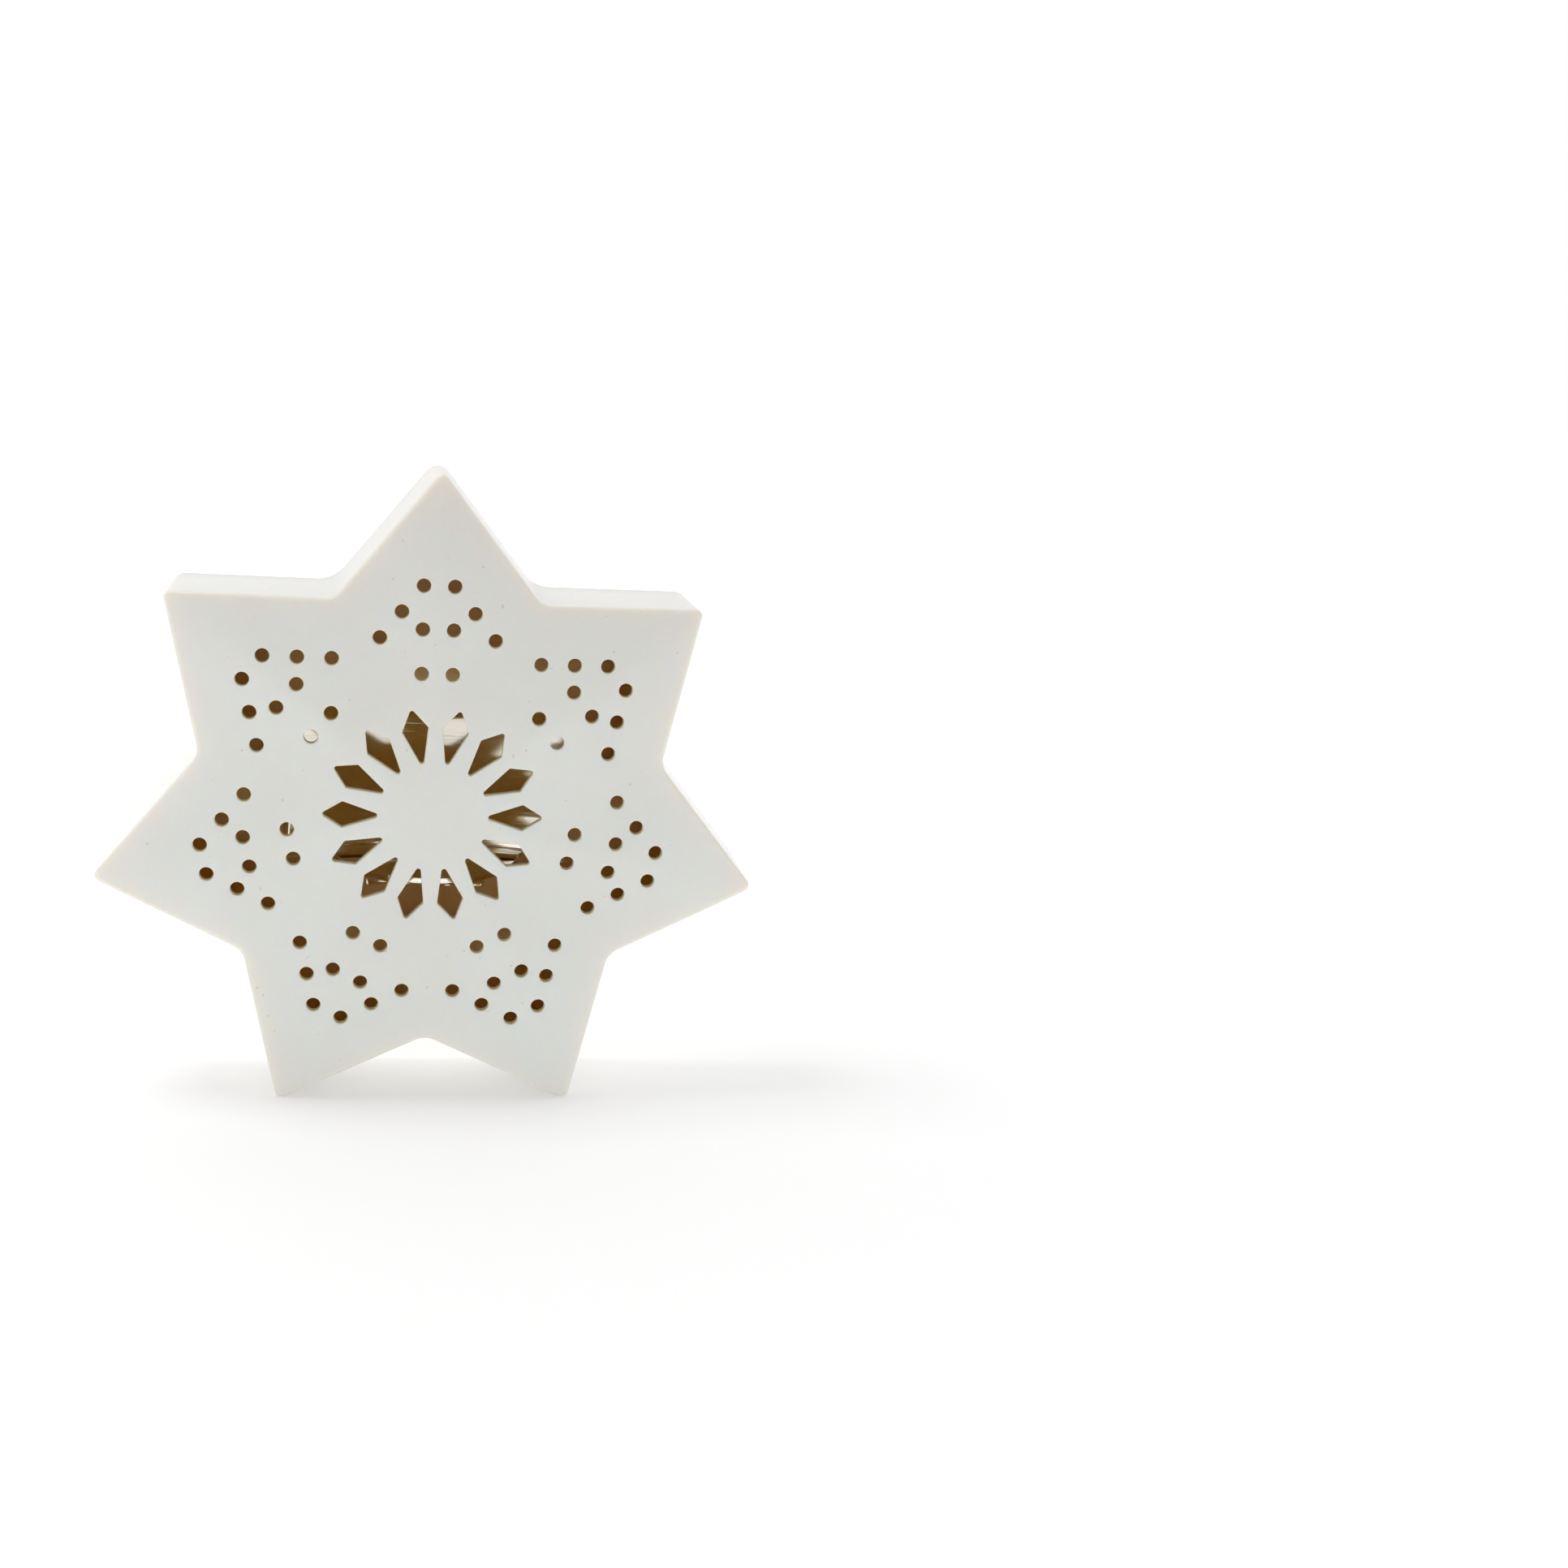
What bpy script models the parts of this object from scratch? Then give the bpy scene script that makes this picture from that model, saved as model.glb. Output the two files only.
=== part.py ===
"""A porcelain star that holds a tealight: a pierced, domed shell with an open back, and an insert
of thin sheet that closes the back, carries the candle and throws its light forwards.

Everything is modelled in the star's own frame, which hangs on an empty: x to the right, y up and
z out of the front, with the middle of the star's back rim at the origin. The empty stands that
frame up, so that in the world the star rests on two of its points and looks along -Y.
"""

import math

import bmesh
import bpy
from mathutils import Matrix, Vector

MM = 0.001
WELD = 0.01 * MM
CLEAR = 1 * MM  # how far a cutter stands out of what it cuts

# the star's outline, with the corners taken as sharp
POINTS = 7
TIP_RADIUS = 110.4 * MM
NOTCH_RADIUS = 76.2 * MM
PITCH = 2 * math.pi / POINTS
STAND_HEIGHT = 97.7 * MM  # the middle of the star above what it stands on
FRONT_TIP_ROUND = 2.2 * MM
BACK_TIP_ROUND = 4.8 * MM
FRONT_NOTCH_ROUND = 7 * MM
BACK_NOTCH_ROUND = 11 * MM

# the shell, from its back rim (z = 0) to the middle of its domed front
DEPTH = 52 * MM
DOME_RADIUS = 605 * MM
VALLEY = 0.029  # fall of a valley below its ridges, for each unit of radius
CREASE = 0.2  # softness of a ridge
PLAIN_MIDDLE = 22 * MM  # inside this radius the ridges fade out
FLARE = 0.8 * MM  # the back rim stands out this much further than the front
EDGE_ROUND = 2.0 * MM
RIM_ROUND = 1.0 * MM
CORNER_CUT = 0.3  # where a two-step round passes its corner, as a part of its radius
SIDE_WALL = 3.5 * MM
FRONT_WALL = 3.3 * MM
INSIDE_CHAMFER = 3.0 * MM
REBATE_DEPTH = 1.7 * MM
REBATE_WALL = 2.2 * MM

# light holes
DOT_RADIUS = 2.35 * MM
DOT_SIDES = 12
PAIR_RADII = (74.0 * MM, 60.2 * MM, 46.1 * MM)
PAIR_HALF_GAP = 4.9 * MM
CHEVRON_STEP = 10.8 * MM
PETALS = 2 * POINTS
PETAL_INNER, PETAL_WIDEST, PETAL_OUTER = 15.9 * MM, 28.8 * MM, 35.8 * MM
PETAL_WIDTH = 8.7 * MM
PETAL_ROUND = 0.8 * MM

DRILL_SIDES = 12
FINGER_HOLE_SIDES = 32
ROLLED_FACETS = 16
LIP_FACETS = 20
TURNED_FACETS = 16

# the insert: a plate in the rebate, and on it a reflector, a tray and two springs
GAP = 0.35 * MM
PLATE_SHEET = 0.6 * MM
PLATE_BACK = 0.7 * MM  # the plate's back face, ahead of the rim
FINGER_HOLE_RADIUS = 8 * MM
FINGER_HOLE_HEIGHT = -54 * MM
SHEET = 0.4 * MM
REFLECTOR_RADIUS = 140 * MM
REFLECTOR_LEAN = math.radians(7.3)
REFLECTOR_TOP = 27 * MM
REFLECTOR_HALF_WIDTH = 47 * MM
TRAY_FLOOR = -23.5 * MM  # middle of the floor's sheet, from the middle of the star
TRAY_HALF_WIDTH = 31 * MM
TRAY_WIDEST = 7 * MM  # where its half-ellipse is widest, ahead of the rim
TRAY_FRONT = 46.8 * MM
TRAY_LIP = 2 * MM
LIP_START = 13 * MM  # the lip ends this far ahead of the rim, clear of the reflector
FLANGE_HEIGHT = 12 * MM
FLANGE_HALF_WIDTH = 20 * MM
RIVET_SPACING = 26 * MM
RIVET_DROP = 7.2 * MM  # the lower rivets, below the tray's floor
RIVET_SHANK = 1.25 * MM
RIVET_HEAD = 2.6 * MM
RIVET_HEAD_RISE = 0.5 * MM
TOP_RIVET_HEIGHT = 23 * MM
WIRE_RADIUS = 0.6 * MM
WIRE_GAP = 6.5 * MM  # between the middles of a hairpin's two legs
WIRE_START, WIRE_END = 50.5 * MM, 71.8 * MM
WIRE_RISE = 9 * MM
CLAMP_START, CLAMP_LENGTH = 51.5 * MM, 6 * MM
CLAMP_FOOT = 3 * MM
CLAMP_SHEET = 0.4 * MM

TIP_HALF_ANGLE = math.atan2(
    NOTCH_RADIUS * math.sin(PITCH / 2), TIP_RADIUS - NOTCH_RADIUS * math.cos(PITCH / 2)
)
NOTCH_HALF_ANGLE = TIP_HALF_ANGLE + PITCH / 2
PLATE_FRONT = PLATE_BACK + PLATE_SHEET
FIRST_POINT = math.pi / 2

PORCELAIN = ("porcelain", (0.80, 0.79, 0.76), 0.25, 0.0)
POLISHED = ("polished_sheet", (0.90, 0.82, 0.66), 0.08, 1.0)
SATIN = ("satin_sheet", (0.77, 0.58, 0.30), 0.4, 1.0)
BRASS = ("brass", (0.80, 0.60, 0.28), 0.2, 1.0)
WIRE_STEEL = ("spring_wire", (0.62, 0.56, 0.45), 0.25, 1.0)


def clear_scene():
    for thing in list(bpy.data.objects):
        bpy.data.objects.remove(thing)


def new_collection(name):
    collection = bpy.data.collections.new(name)
    bpy.context.scene.collection.children.link(collection)
    return collection


def finish_of(look):
    """The material of that name, made the first time that it is asked for."""
    name, colour, roughness, metallic = look
    material = bpy.data.materials.get(name)
    if material is None:
        material = bpy.data.materials.new(name)
        material.use_nodes = True
        shader = material.node_tree.nodes["Principled BSDF"]
        shader.inputs["Base Color"].default_value = (*colour, 1)
        shader.inputs["Roughness"].default_value = roughness
        shader.inputs["Metallic"].default_value = metallic
        material.diffuse_color = (*colour, 1)
    return material


def place(thing, collection, parent, look):
    """Puts an object in a collection, under its parent, with its own finish."""
    collection.objects.link(thing)
    thing.parent = parent
    thing.data.materials.append(finish_of(look))
    return thing


def as_cutter(thing, parent):
    CUTTERS.objects.link(thing)
    thing.parent = parent
    thing.hide_render = True
    thing.display_type = "WIRE"
    return thing


def mesh_object(name, bm):
    bmesh.ops.recalc_face_normals(bm, faces=bm.faces)
    mesh = bpy.data.meshes.new(name)
    bm.to_mesh(mesh)
    bm.free()
    mesh.shade_smooth()
    mesh.set_sharp_from_angle(angle=math.radians(35))
    return bpy.data.objects.new(name, mesh)


def cut(thing, cutter):
    boolean = thing.modifiers.new(cutter.name, "BOOLEAN")
    boolean.operation = "DIFFERENCE"
    boolean.solver = "EXACT"
    boolean.object = cutter


def arc(centre, radius, start, end, steps):
    """Points on an arc from one angle to another, both ends included."""
    turns = [start + (end - start) * i / steps for i in range(steps + 1)]
    return [centre + radius * Vector((math.cos(a), math.sin(a))) for a in turns]


def star_outline(offset, tip_round, notch_round, arc_steps=4, edge_steps=2):
    """The star's outline as (x, y), anticlockwise from the top point, all its edges moved out by
    offset and its corners rounded. Every outline with the same steps has the same points."""
    tip = TIP_RADIUS + offset / math.sin(TIP_HALF_ANGLE) - tip_round / math.sin(TIP_HALF_ANGLE)
    notch = NOTCH_RADIUS + (offset + notch_round) / math.sin(NOTCH_HALF_ANGLE)
    tip_swing = math.pi / 2 - TIP_HALF_ANGLE
    notch_swing = math.pi / 2 - NOTCH_HALF_ANGLE
    corners = []
    for k in range(POINTS):
        toward = FIRST_POINT + k * PITCH
        centre = tip * Vector((math.cos(toward), math.sin(toward)))
        corners.append(arc(centre, tip_round, toward - tip_swing, toward + tip_swing, arc_steps))
        away = toward + PITCH / 2
        centre = notch * Vector((math.cos(away), math.sin(away)))
        back = away + math.pi
        corners.append(arc(centre, notch_round, back + notch_swing, back - notch_swing, arc_steps))
    outline = []
    for corner, following in zip(corners, corners[1:] + corners[:1]):
        outline += corner
        outline += [corner[-1].lerp(following[0], i / edge_steps) for i in range(1, edge_steps)]
    return outline


def dome(x, y):
    """How far the front has fallen behind its middle at (x, y): a shallow sphere, with a soft
    ridge out to each point of the star and a soft valley to each notch."""
    radius = math.hypot(x, y)
    if radius == 0:
        return 0
    swing = abs(math.sin((math.atan2(y, x) - FIRST_POINT) * POINTS / 2))
    fold = (math.hypot(swing, CREASE) - CREASE) / (math.hypot(1, CREASE) - CREASE)
    fold *= radius**2 / (radius**2 + PLAIN_MIDDLE**2)
    return DOME_RADIUS - math.sqrt(DOME_RADIUS**2 - radius**2) + VALLEY * radius * fold


def loft(name, rings):
    """A closed skin over rings with equal numbers of points; the last ring closes on its middle."""
    bm = bmesh.new()
    rows = [[bm.verts.new(point) for point in ring] for ring in rings]
    for row, following in zip(rows, rows[1:]):
        for i, vert in enumerate(row):
            j = (i + 1) % len(row)
            bm.faces.new((vert, row[j], following[j], following[i]))
    bm.faces.new(rows[0])
    last = rings[-1]
    middle = bm.verts.new((0, 0, max(point.z for point in last) + dome(last[0].x, last[0].y) / 2))
    for i, vert in enumerate(rows[-1]):
        bm.faces.new((vert, rows[-1][(i + 1) % len(rows[-1])], middle))
    return mesh_object(name, bm)


def shell_skin(name, inset, front_depth, back_rings, edge_cut, dome_scales):
    """A star-shaped skin: rings at the back given as (z, offset), flared side walls, a cut or
    rounded front edge, and a domed front. inset is how far its walls lie inside the shell's."""
    rings = []

    def flare_at(z):
        return FLARE * (1 - z / DEPTH)

    def tip_round_at(z):
        return BACK_TIP_ROUND + (FRONT_TIP_ROUND - BACK_TIP_ROUND) * z / DEPTH + inset / 4

    def notch_round_at(z):
        return BACK_NOTCH_ROUND + (FRONT_NOTCH_ROUND - BACK_NOTCH_ROUND) * z / DEPTH + inset

    for z, offset in back_rings:
        line = star_outline(offset + flare_at(z), tip_round_at(z), notch_round_at(z))
        rings.append([Vector((p.x, p.y, z)) for p in line])
    radius, steps = edge_cut
    front_rounds = tip_round_at(DEPTH), notch_round_at(DEPTH)
    rim = star_outline(-inset, *front_rounds)
    for i in range(steps + 1):
        turn = math.pi / 2 * i / steps
        pulled = radius * (1 - math.cos(turn))
        lowered = radius * (1 - math.sin(turn))
        line = star_outline(-inset - pulled, *front_rounds)
        heights = [front_depth - dome(p.x, p.y) - lowered for p in rim]
        rings.append([Vector((p.x, p.y, z)) for p, z in zip(line, heights)])
    inner_edge = rings[-1]
    for scale in dome_scales:
        ring = [point.xy * scale for point in inner_edge]
        rings.append([Vector((p.x, p.y, front_depth - dome(p.x, p.y))) for p in ring])
    return loft(name, rings)


def dot_places():
    """The middles of the round holes: on each point three pairs either side of its ridge, and
    from the outermost pair two more holes on each side, in a line along the star's edge."""
    places = []
    for k in range(POINTS):
        turn = Matrix.Rotation(k * PITCH, 2)
        for side in (-1, 1):
            spots = [Vector((side * PAIR_HALF_GAP, radius)) for radius in PAIR_RADII]
            along = Vector((side * math.sin(TIP_HALF_ANGLE), -math.cos(TIP_HALF_ANGLE)))
            spots += [spots[0] + along * CHEVRON_STEP * i for i in (1, 2)]
            places += [turn @ spot for spot in spots]
    return places


def rounded_corner(before, corner, after, radius, steps=2):
    """Points of an arc of that radius in place of a corner."""
    back, ahead = (before - corner).normalized(), (after - corner).normalized()
    half = back.angle(ahead) / 2
    middle = corner + (back + ahead).normalized() * radius / math.sin(half)
    first = corner + back * radius / math.tan(half)
    last = corner + ahead * radius / math.tan(half)
    swept = [first.lerp(last, i / steps) - middle for i in range(steps + 1)]
    return [middle + spoke.normalized() * radius for spoke in swept]


def petal_outline():
    """A kite that points outwards along +y, with rounded corners."""
    half = PETAL_WIDTH / 2
    kite = [
        Vector((0, PETAL_INNER)),
        Vector((half, PETAL_WIDEST)),
        Vector((0, PETAL_OUTER)),
        Vector((-half, PETAL_WIDEST)),
    ]
    outline = []
    for i, corner in enumerate(kite):
        outline += rounded_corner(kite[i - 1], corner, kite[(i + 1) % 4], PETAL_ROUND)
    return outline


def prism(bm, outline, low, high):
    """A straight-sided solid over an outline, added to bm."""
    top = bm.faces.new([bm.verts.new((p.x, p.y, high)) for p in outline])
    bottom = bmesh.ops.extrude_face_region(bm, geom=[top])["geom"]
    drop = [v for v in bottom if isinstance(v, bmesh.types.BMVert)]
    bmesh.ops.translate(bm, verts=drop, vec=(0, 0, low - high))


def light_hole_cutter():
    bm = bmesh.new()
    low, high = DEPTH / 2, DEPTH * 1.2
    for place_at in dot_places():
        centre = Matrix.Translation((place_at.x, place_at.y, (low + high) / 2))
        bmesh.ops.create_cone(
            bm,
            cap_ends=True,
            segments=DOT_SIDES,
            radius1=DOT_RADIUS,
            radius2=DOT_RADIUS,
            depth=high - low,
            matrix=centre,
        )
    for k in range(PETALS):
        turn = Matrix.Rotation((k + 0.5) * 2 * math.pi / PETALS, 2)
        prism(bm, [turn @ point for point in petal_outline()], low, high)
    return mesh_object("light_hole_cutter", bm)


def make_shell(frame):
    """Slip-cast porcelain: the outside, less the cavity, the light holes and the ground feet."""
    outside = [
        (0, -RIM_ROUND),
        (RIM_ROUND * CORNER_CUT, -RIM_ROUND * CORNER_CUT),
        (RIM_ROUND, 0),
    ]
    scales = (0.86, 0.7, 0.54, 0.38, 0.22, 0.08)
    shell = shell_skin("star_shell", 0, DEPTH, outside, (EDGE_ROUND, 3), scales)
    place(shell, OBJECT, frame, PORCELAIN)

    inside = [
        (-CLEAR, -REBATE_WALL),
        (REBATE_DEPTH, -REBATE_WALL),
        (REBATE_DEPTH, -SIDE_WALL),
    ]
    ceiling = DEPTH - FRONT_WALL
    scales = (0.8, 0.55, 0.3, 0.1)
    cavity = shell_skin("cavity", SIDE_WALL, ceiling, inside, (INSIDE_CHAMFER, 1), scales)
    cut(shell, as_cutter(cavity, frame))
    cut(shell, as_cutter(light_hole_cutter(), frame))

    ground = bmesh.new()
    bmesh.ops.create_cube(ground, size=1)
    size = Vector((3 * TIP_RADIUS, 20 * MM, 3 * DEPTH))
    bmesh.ops.scale(ground, vec=size, verts=ground.verts)
    bmesh.ops.translate(ground, vec=(0, -STAND_HEIGHT - size.y / 2, DEPTH / 2), verts=ground.verts)
    cut(shell, as_cutter(mesh_object("ground_cutter", ground), frame))
    return shell


def flat_outline_curve(name, outline, thickness):
    """A flat sheet, centred on z = 0, as a filled 2D curve."""
    curve = bpy.data.curves.new(name, "CURVE")
    curve.dimensions = "2D"
    curve.fill_mode = "BOTH"
    curve.extrude = thickness / 2
    spline = curve.splines.new("POLY")
    spline.points.add(len(outline) - 1)
    for point, at in zip(spline.points, outline):
        point.co = (at.x, at.y, 0, 1)
    spline.use_cyclic_u = True
    return bpy.data.objects.new(name, curve)


def made_mesh(thing):
    """The same object as a mesh, its caps welded on; the curve is removed."""
    bpy.context.scene.collection.objects.link(thing)
    solid = thing.evaluated_get(bpy.context.evaluated_depsgraph_get())
    mesh = bpy.data.meshes.new_from_object(solid)
    name, where = thing.name, thing.matrix_world.copy()
    bpy.data.objects.remove(thing)
    bm = bmesh.new()
    bm.from_mesh(mesh)
    bmesh.ops.remove_doubles(bm, verts=bm.verts, dist=WELD)
    made = mesh_object(name, bm)
    made.matrix_world = where
    return made


def hole_cutter(name, radius, x, y, low, high, sides=DRILL_SIDES):
    bm = bmesh.new()
    middle = Matrix.Translation((x, y, (low + high) / 2))
    bmesh.ops.create_cone(
        bm,
        cap_ends=True,
        segments=sides,
        radius1=radius,
        radius2=radius,
        depth=high - low,
        matrix=middle,
    )
    return mesh_object(name, bm)


def reflector_front(y):
    """How far the middle of the leaning reflector stands ahead of the rim, at height y."""
    top = PLATE_FRONT + GAP + SHEET / 2
    return top + (REFLECTOR_TOP - y) * math.tan(REFLECTOR_LEAN)


def rivet_places():
    """Name, x, y and what lies between a rivet's head and its tail, ahead of the plate."""
    low = TRAY_FLOOR - RIVET_DROP
    flange = GAP + SHEET
    panel = reflector_front(TOP_RIVET_HEIGHT - 2 * RIVET_HEAD) + SHEET - PLATE_FRONT
    return [
        ("tray_rivet_left", -RIVET_SPACING / 2, low, flange),
        ("tray_rivet_right", RIVET_SPACING / 2, low, flange),
        ("reflector_rivet", 0, TOP_RIVET_HEIGHT, panel),
    ]


def make_plate(frame):
    """Satin sheet in the star's outline, dropped into the rebate of the back rim."""
    inset = -REBATE_WALL - GAP + FLARE
    rounds = BACK_TIP_ROUND + SIDE_WALL / 4, BACK_NOTCH_ROUND + SIDE_WALL
    outline = star_outline(inset, *rounds)
    plate = made_mesh(flat_outline_curve("back_plate", outline, PLATE_SHEET))
    plate.location.z = PLATE_BACK + PLATE_SHEET / 2
    place(plate, OBJECT, frame, SATIN)
    through = (PLATE_BACK - CLEAR, PLATE_FRONT + CLEAR)
    hole = "finger_hole", FINGER_HOLE_RADIUS, 0, FINGER_HOLE_HEIGHT
    cut(plate, as_cutter(hole_cutter(*hole, *through, FINGER_HOLE_SIDES), frame))
    for name, x, y, _ in rivet_places():
        hole = hole_cutter("plate_hole_" + name, RIVET_SHANK + GAP, x, y, *through)
        cut(plate, as_cutter(hole, frame))
    return plate


def make_tray(frame):
    """One piece of sheet: a floor with a half-elliptic front, a lip round its edge, and a flange
    folded down at the back, against the plate."""
    back = PLATE_FRONT + GAP + SHEET / 2
    length = TRAY_FRONT - TRAY_WIDEST
    first = math.asin((LIP_START - TRAY_WIDEST) / length)
    lipped = arc(Vector((0, 0)), 1, first, math.pi - first, LIP_FACETS)
    lipped = [Vector((p.x * TRAY_HALF_WIDTH, TRAY_WIDEST + p.y * length)) for p in lipped]

    bm = bmesh.new()
    floor = [bm.verts.new((p.x, TRAY_FLOOR, p.y)) for p in lipped]
    lip = [bm.verts.new((p.x, TRAY_FLOOR + TRAY_LIP, p.y)) for p in lipped]
    for i in range(len(lipped) - 1):
        bm.faces.new((floor[i], floor[i + 1], lip[i + 1], lip[i]))
    corners = [bm.verts.new((p.x, TRAY_FLOOR, back)) for p in (lipped[-1], lipped[0])]
    folds = [
        bm.verts.new((x, TRAY_FLOOR, back)) for x in (-FLANGE_HALF_WIDTH, FLANGE_HALF_WIDTH)
    ]
    bm.faces.new([*floor, corners[0], *folds, corners[1]])
    feet = [
        bm.verts.new((x, TRAY_FLOOR - FLANGE_HEIGHT, back))
        for x in (-FLANGE_HALF_WIDTH, FLANGE_HALF_WIDTH)
    ]
    bm.faces.new((folds[0], folds[1], feet[1], feet[0]))
    tray = mesh_object("tealight_tray", bm)
    place(tray, OBJECT, frame, POLISHED)
    sheet = tray.modifiers.new("sheet", "SOLIDIFY")
    sheet.thickness = SHEET
    sheet.offset = 0
    sheet.use_even_offset = True
    for name, x, y, _ in rivet_places()[:2]:
        through = back - CLEAR, back + CLEAR
        hole = hole_cutter("tray_hole_" + name, RIVET_SHANK + GAP, x, y, *through)
        cut(tray, as_cutter(hole, frame))
    return tray


def make_reflector(frame):
    """Sheet rolled to a shallow hollow behind the candle, leaning back against the plate."""
    steps = ROLLED_FACETS
    low, high = TRAY_FLOOR + SHEET / 2 + GAP, REFLECTOR_TOP
    swing = math.asin(REFLECTOR_HALF_WIDTH / REFLECTOR_RADIUS)
    bm = bmesh.new()
    rows = []
    for y in (low, high):
        row = []
        for i in range(steps + 1):
            turn = -swing + 2 * swing * i / steps
            ahead = reflector_front(y) + REFLECTOR_RADIUS * (1 - math.cos(turn))
            row.append(bm.verts.new((REFLECTOR_RADIUS * math.sin(turn), y, ahead)))
        rows.append(row)
    for i in range(steps):
        bm.faces.new((rows[0][i], rows[0][i + 1], rows[1][i + 1], rows[1][i]))
    reflector = mesh_object("reflector", bm)
    place(reflector, OBJECT, frame, POLISHED)
    sheet = reflector.modifiers.new("sheet", "SOLIDIFY")
    sheet.thickness = SHEET
    sheet.offset = 0
    sheet.use_even_offset = True
    _, x, y, _ = rivet_places()[2]
    ahead = reflector_front(y)
    hole = hole_cutter("reflector_hole", RIVET_SHANK + GAP, x, y, ahead - CLEAR, ahead + CLEAR)
    cut(reflector, as_cutter(hole, frame))
    return reflector


def make_rivet(frame, name, x, y, held):
    """A mushroom head behind the plate, a shank, and a flat tail ahead of what it holds."""
    tail = PLATE_FRONT + held + GAP
    head = PLATE_BACK - GAP / 2
    rise = RIVET_HEAD_RISE
    profile = [(0, tail + rise)]
    profile += [(RIVET_HEAD * 0.8, tail + rise), (RIVET_HEAD * 0.8, tail), (RIVET_SHANK, tail)]
    profile += [(RIVET_SHANK, head), (RIVET_HEAD, head)]
    profile += [(RIVET_HEAD * 0.75, head - rise * 0.7), (0, head - rise)]
    mesh = bpy.data.meshes.new("rivet_profile")
    points = [(r, 0, z) for r, z in profile]
    mesh.from_pydata(points, [(i, i + 1) for i in range(len(points) - 1)], [])
    rivet = bpy.data.objects.new(name, mesh)
    rivet.location = (x, y, 0)
    place(rivet, OBJECT, frame, BRASS)
    turned = rivet.modifiers.new("turned", "SCREW")
    turned.steps = turned.render_steps = TURNED_FACETS
    turned.use_merge_vertices = True
    turned.merge_threshold = WELD
    return rivet


def make_spring(frame, side, lower_notch):
    """A hairpin of spring wire under a folded strap, both lying along the way to a lower notch,
    where the wire's round end bears on the shell."""
    holder = bpy.data.objects.new("spring_axis_" + side, None)
    OBJECT.objects.link(holder)
    holder.parent = frame
    holder.location = (0, 0, PLATE_FRONT)
    holder.rotation_euler = (0, 0, FIRST_POINT + lower_notch * PITCH)

    half = WIRE_GAP / 2
    lift = CLAMP_SHEET / 2 + WIRE_RADIUS + GAP
    clamp_end = CLAMP_START + CLAMP_LENGTH
    turn_at = WIRE_END - half - WIRE_RADIUS
    flat = [WIRE_START, clamp_end + CLEAR]
    leg = [Vector((u, half)) for u in flat]
    bow = arc(Vector((turn_at, 0)), half, math.pi / 2, -math.pi / 2, 8)
    other = [Vector((u, -half)) for u in reversed(flat)]

    def height(u):
        slope = max(0, (u - flat[1]) / (WIRE_END - flat[1]))
        return lift + WIRE_RISE * slope

    curve = bpy.data.curves.new("spring_wire_" + side, "CURVE")
    curve.dimensions = "3D"
    curve.bevel_depth = WIRE_RADIUS
    curve.bevel_resolution = 2
    curve.use_fill_caps = True
    route = leg + bow + other
    spline = curve.splines.new("POLY")
    spline.points.add(len(route) - 1)
    for point, at in zip(spline.points, route):
        point.co = (at.x, at.y, height(at.x), 1)
    wire = bpy.data.objects.new("spring_wire_" + side, curve)
    place(wire, OBJECT, holder, WIRE_STEEL)

    rise = lift + WIRE_RADIUS + GAP + CLAMP_SHEET / 2
    reach = half + WIRE_RADIUS + GAP + CLAMP_SHEET / 2
    foot = GAP + CLAMP_SHEET / 2
    across = [(-reach - CLAMP_FOOT, foot), (-reach, foot), (-reach, rise)]
    across += [(-v, z) for v, z in reversed(across)]
    bm = bmesh.new()
    near = [bm.verts.new((CLAMP_START, v, z)) for v, z in across]
    far = [bm.verts.new((clamp_end, v, z)) for v, z in across]
    for i in range(len(across) - 1):
        bm.faces.new((near[i], near[i + 1], far[i + 1], far[i]))
    clamp = mesh_object("wire_clamp_" + side, bm)
    place(clamp, OBJECT, holder, BRASS)
    sheet = clamp.modifiers.new("sheet", "SOLIDIFY")
    sheet.thickness = CLAMP_SHEET
    sheet.offset = 0
    sheet.use_even_offset = True


clear_scene()
OBJECT = new_collection("star_tealight_holder")
CUTTERS = new_collection("cutters")

star_frame = bpy.data.objects.new("star_frame", None)
OBJECT.objects.link(star_frame)
star_frame.location = (0, DEPTH / 2, STAND_HEIGHT)
star_frame.rotation_euler = (math.pi / 2, 0, 0)

make_shell(star_frame)

insert_slide = bpy.data.objects.new("insert_slide", None)
OBJECT.objects.link(insert_slide)
insert_slide.parent = star_frame

make_plate(insert_slide)
make_tray(insert_slide)
make_reflector(insert_slide)
for rivet_name, rivet_x, rivet_y, rivet_held in rivet_places():
    make_rivet(insert_slide, rivet_name, rivet_x, rivet_y, rivet_held)
make_spring(insert_slide, "left", 1.5)
make_spring(insert_slide, "right", 5.5)
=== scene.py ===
"""A porcelain star that holds a tealight, pierced with light holes, and the sheet-metal insert that
closes its open back. The star stands on two of its points and looks along -Y.

Most pieces are made in the star's own axes: x to the right, y up and z out of the front, with the
middle of the back rim at the origin.
"""

import math

import bmesh
import bpy
import numpy as np
from mathutils import Matrix, Vector


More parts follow.
